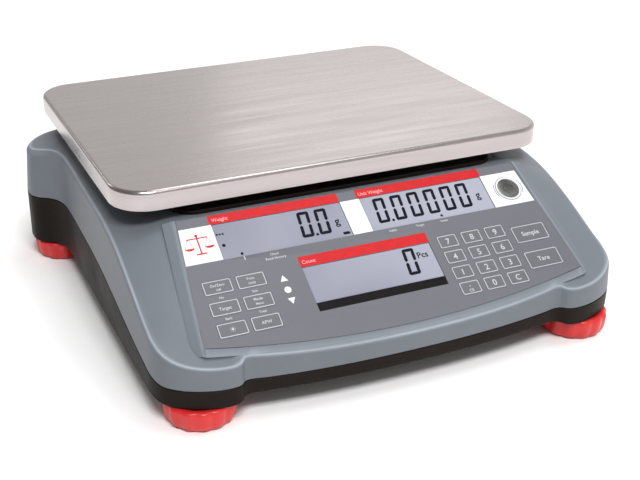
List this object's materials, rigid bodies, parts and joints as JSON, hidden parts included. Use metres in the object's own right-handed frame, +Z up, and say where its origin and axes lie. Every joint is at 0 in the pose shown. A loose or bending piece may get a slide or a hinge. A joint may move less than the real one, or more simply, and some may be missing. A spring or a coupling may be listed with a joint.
{
  "type": "counting scale",
  "caption": "Bench counting scale: brushed steel pan on a grey and black housing, sloped keypad panel with displays, and red levelling feet.",
  "frame": {"origin": "on the floor, at the middle of the footprint in X and Y", "axes": "+Z up, -Y towards the operator and the control panel, +X to the operator's right"},
  "size_m": [0.3472, 0.324, 0.11],
  "materials": {
    "housing_grey": "satin moulded ABS, blue-grey",
    "base_black": "fine-textured moulded ABS, warm black",
    "stainless_brushed": "linear brushed stainless sheet, rolled skirt",
    "cast_alloy": "die-cast alloy, black powder coat",
    "load_cell_alloy": "machined aluminium, fine milling lines",
    "overlay_film": "printed polyester overlay, fine matt grain",
    "key_film": "printed polyester key face, light outline and legend",
    "display_glass": "backlit liquid-crystal window, blue-grey",
    "circuit_board": "green solder mask with copper tracks",
    "vial_fluid": "clear level vial with fluid and bubble",
    "vial_ring": "dark ring round the level vial",
    "battery_case": "sealed battery case, dark grey",
    "socket_black": "black moulded power inlet",
    "connector_shell": "plated steel connector shell",
    "knob_red": "red moulded levelling wheel with wide flutes",
    "screw_steel": "zinc-plated steel",
    "pad_rubber": "moulded rubber"
  },
  "bodies": {
    "base": {"upper_housing": "housing_grey", "lower_housing": "base_black", "control_overlay": "overlay_film", "display_weight": "display_glass", "display_unit_weight": "display_glass", "display_count": "display_glass", "main_board": "circuit_board", "level_vial": "vial_fluid", "level_vial_ring": "vial_ring", "battery": "battery_case", "battery_cover": "base_black", "power_inlet": "socket_black", "serial_port": "connector_shell", "load_cell": "load_cell_alloy", "load_cell_screw_1": "screw_steel", "load_cell_screw_2": "screw_steel", "case_screw_1": "screw_steel", "case_screw_2": "screw_steel", "case_screw_3": "screw_steel", "case_screw_4": "screw_steel"},
    "platform": {"spider": "cast_alloy", "pan_pad_fl": "pad_rubber", "pan_pad_fr": "pad_rubber", "pan_pad_rl": "pad_rubber", "pan_pad_rr": "pad_rubber"},
    "pan": {"weighing_pan": "stainless_brushed"},
    "key_mode_1_press": {"key_mode_1": "key_film"},
    "key_mode_2_press": {"key_mode_2": "key_film"},
    "key_mode_3_press": {"key_mode_3": "key_film"},
    "key_mode_4_press": {"key_mode_4": "key_film"},
    "key_mode_5_press": {"key_mode_5": "key_film"},
    "key_mode_6_press": {"key_mode_6": "key_film"},
    "key_7_press": {"key_7": "key_film"},
    "key_8_press": {"key_8": "key_film"},
    "key_9_press": {"key_9": "key_film"},
    "key_4_press": {"key_4": "key_film"},
    "key_5_press": {"key_5": "key_film"},
    "key_6_press": {"key_6": "key_film"},
    "key_1_press": {"key_1": "key_film"},
    "key_2_press": {"key_2": "key_film"},
    "key_3_press": {"key_3": "key_film"},
    "key_clear_entry_press": {"key_clear_entry": "key_film"},
    "key_0_press": {"key_0": "key_film"},
    "key_clear_press": {"key_clear": "key_film"},
    "key_sample_press": {"key_sample": "key_film"},
    "key_tare_press": {"key_tare": "key_film"},
    "foot_fl_screw": {"foot_stud_fl": "screw_steel", "foot_pad_fl": "pad_rubber"},
    "foot_fl_wheel": {"foot_knob_fl": "knob_red"},
    "foot_fr_screw": {"foot_stud_fr": "screw_steel", "foot_pad_fr": "pad_rubber"},
    "foot_fr_wheel": {"foot_knob_fr": "knob_red"},
    "foot_rl_screw": {"foot_stud_rl": "screw_steel", "foot_pad_rl": "pad_rubber"},
    "foot_rl_wheel": {"foot_knob_rl": "knob_red"},
    "foot_rr_screw": {"foot_stud_rr": "screw_steel", "foot_pad_rr": "pad_rubber"},
    "foot_rr_wheel": {"foot_knob_rr": "knob_red"}
  },
  "joints": [
    {"name": "load_cell_flex", "type": "slide", "parent": "base", "child": "platform", "axis": [0, 0, -1], "range_m": [0, 0.0004], "stiffness_N_per_m": 60000, "springref_m": -0.0004},
    {"name": "pan_lift", "type": "slide", "parent": "platform", "child": "pan", "axis": [0, 0, 1], "range_m": [0, 0.05]},
    {"name": "key_mode_1_travel", "type": "slide", "parent": "base", "child": "key_mode_1_press", "axis": [0, 0.5388, -0.8425], "range_m": [0, 0.0005], "stiffness_N_per_m": 800, "springref_m": -0.001},
    {"name": "key_mode_2_travel", "type": "slide", "parent": "base", "child": "key_mode_2_press", "axis": [0, 0.5388, -0.8425], "range_m": [0, 0.0005], "stiffness_N_per_m": 800, "springref_m": -0.001},
    {"name": "key_mode_3_travel", "type": "slide", "parent": "base", "child": "key_mode_3_press", "axis": [0, 0.5388, -0.8425], "range_m": [0, 0.0005], "stiffness_N_per_m": 800, "springref_m": -0.001},
    {"name": "key_mode_4_travel", "type": "slide", "parent": "base", "child": "key_mode_4_press", "axis": [0, 0.5388, -0.8425], "range_m": [0, 0.0005], "stiffness_N_per_m": 800, "springref_m": -0.001},
    {"name": "key_mode_5_travel", "type": "slide", "parent": "base", "child": "key_mode_5_press", "axis": [0, 0.5388, -0.8425], "range_m": [0, 0.0005], "stiffness_N_per_m": 800, "springref_m": -0.001},
    {"name": "key_mode_6_travel", "type": "slide", "parent": "base", "child": "key_mode_6_press", "axis": [0, 0.5388, -0.8425], "range_m": [0, 0.0005], "stiffness_N_per_m": 800, "springref_m": -0.001},
    {"name": "key_7_travel", "type": "slide", "parent": "base", "child": "key_7_press", "axis": [0, 0.5388, -0.8425], "range_m": [0, 0.0005], "stiffness_N_per_m": 800, "springref_m": -0.001},
    {"name": "key_8_travel", "type": "slide", "parent": "base", "child": "key_8_press", "axis": [0, 0.5388, -0.8425], "range_m": [0, 0.0005], "stiffness_N_per_m": 800, "springref_m": -0.001},
    {"name": "key_9_travel", "type": "slide", "parent": "base", "child": "key_9_press", "axis": [0, 0.5388, -0.8425], "range_m": [0, 0.0005], "stiffness_N_per_m": 800, "springref_m": -0.001},
    {"name": "key_4_travel", "type": "slide", "parent": "base", "child": "key_4_press", "axis": [0, 0.5388, -0.8425], "range_m": [0, 0.0005], "stiffness_N_per_m": 800, "springref_m": -0.001},
    {"name": "key_5_travel", "type": "slide", "parent": "base", "child": "key_5_press", "axis": [0, 0.5388, -0.8425], "range_m": [0, 0.0005], "stiffness_N_per_m": 800, "springref_m": -0.001},
    {"name": "key_6_travel", "type": "slide", "parent": "base", "child": "key_6_press", "axis": [0, 0.5388, -0.8425], "range_m": [0, 0.0005], "stiffness_N_per_m": 800, "springref_m": -0.001},
    {"name": "key_1_travel", "type": "slide", "parent": "base", "child": "key_1_press", "axis": [0, 0.5388, -0.8425], "range_m": [0, 0.0005], "stiffness_N_per_m": 800, "springref_m": -0.001},
    {"name": "key_2_travel", "type": "slide", "parent": "base", "child": "key_2_press", "axis": [0, 0.5388, -0.8425], "range_m": [0, 0.0005], "stiffness_N_per_m": 800, "springref_m": -0.001},
    {"name": "key_3_travel", "type": "slide", "parent": "base", "child": "key_3_press", "axis": [0, 0.5388, -0.8425], "range_m": [0, 0.0005], "stiffness_N_per_m": 800, "springref_m": -0.001},
    {"name": "key_clear_entry_travel", "type": "slide", "parent": "base", "child": "key_clear_entry_press", "axis": [0, 0.5388, -0.8425], "range_m": [0, 0.0005], "stiffness_N_per_m": 800, "springref_m": -0.001},
    {"name": "key_0_travel", "type": "slide", "parent": "base", "child": "key_0_press", "axis": [0, 0.5388, -0.8425], "range_m": [0, 0.0005], "stiffness_N_per_m": 800, "springref_m": -0.001},
    {"name": "key_clear_travel", "type": "slide", "parent": "base", "child": "key_clear_press", "axis": [0, 0.5388, -0.8425], "range_m": [0, 0.0005], "stiffness_N_per_m": 800, "springref_m": -0.001},
    {"name": "key_sample_travel", "type": "slide", "parent": "base", "child": "key_sample_press", "axis": [0, 0.5388, -0.8425], "range_m": [0, 0.0005], "stiffness_N_per_m": 800, "springref_m": -0.001},
    {"name": "key_tare_travel", "type": "slide", "parent": "base", "child": "key_tare_press", "axis": [0, 0.5388, -0.8425], "range_m": [0, 0.0005], "stiffness_N_per_m": 800, "springref_m": -0.001},
    {"name": "foot_fl_travel", "type": "slide", "parent": "base", "child": "foot_fl_screw", "axis": [0, 0, -1], "range_m": [0, 0.008]},
    {"name": "foot_fl_turn", "type": "hinge", "parent": "foot_fl_screw", "child": "foot_fl_wheel", "pos_m": [-0.1281, -0.1404, 0], "axis": [0, 0, -1], "range_deg": [0, 2304]},
    {"name": "foot_fr_travel", "type": "slide", "parent": "base", "child": "foot_fr_screw", "axis": [0, 0, -1], "range_m": [0, 0.008]},
    {"name": "foot_fr_turn", "type": "hinge", "parent": "foot_fr_screw", "child": "foot_fr_wheel", "pos_m": [0.1281, -0.1404, 0], "axis": [0, 0, -1], "range_deg": [0, 2304]},
    {"name": "foot_rl_travel", "type": "slide", "parent": "base", "child": "foot_rl_screw", "axis": [0, 0, -1], "range_m": [0, 0.008]},
    {"name": "foot_rl_turn", "type": "hinge", "parent": "foot_rl_screw", "child": "foot_rl_wheel", "pos_m": [-0.1504, 0.1001, 0], "axis": [0, 0, -1], "range_deg": [0, 2304]},
    {"name": "foot_rr_travel", "type": "slide", "parent": "base", "child": "foot_rr_screw", "axis": [0, 0, -1], "range_m": [0, 0.008]},
    {"name": "foot_rr_turn", "type": "hinge", "parent": "foot_rr_screw", "child": "foot_rr_wheel", "pos_m": [0.1504, 0.1001, 0], "axis": [0, 0, -1], "range_deg": [0, 2304]}
  ],
  "couplings": [
    {"joint": "foot_fl_travel", "follows": "foot_fl_turn", "m_per_rad": 0.0001989},
    {"joint": "foot_fr_travel", "follows": "foot_fr_turn", "m_per_rad": 0.0001989},
    {"joint": "foot_rl_travel", "follows": "foot_rl_turn", "m_per_rad": 0.0001989},
    {"joint": "foot_rr_travel", "follows": "foot_rr_turn", "m_per_rad": 0.0001989}
  ]
}
